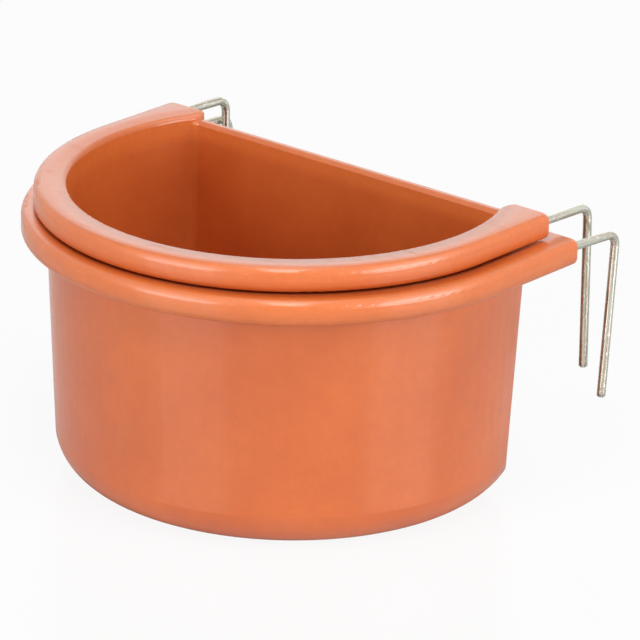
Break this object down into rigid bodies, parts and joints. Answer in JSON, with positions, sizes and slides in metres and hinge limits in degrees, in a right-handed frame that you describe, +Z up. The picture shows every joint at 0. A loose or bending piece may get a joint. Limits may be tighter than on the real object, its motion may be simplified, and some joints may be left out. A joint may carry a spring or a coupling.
{
  "type": "hanging seed cup",
  "caption": "Half-round moulded plastic seed cup nested in a larger one; a bent steel wire under each rim forms hooks for hanging it on cage bars.",
  "frame": {"origin": "on the lower cup's base, at the centre of its curved side", "axes": "+X to the right along the flat back, +Y backwards to the bars that the hooks hang on, +Z up; the curved front faces -Y"},
  "size_m": [0.12, 0.1049, 0.0673],
  "materials": {
    "terracotta_plastic": "terracotta orange, satin as moulded",
    "steel_wire": "bright drawn wire"
  },
  "bodies": {
    "lower": {"lower_cup": "terracotta_plastic", "lower_wire_holder": "steel_wire"},
    "upper": {"upper_cup": "terracotta_plastic", "upper_wire_holder": "steel_wire"}
  },
  "joints": [
    {"name": "upper_cup_lift", "type": "slide", "parent": "lower", "child": "upper", "axis": [0, 0, 1], "range_m": [0, 0.075]}
  ]
}
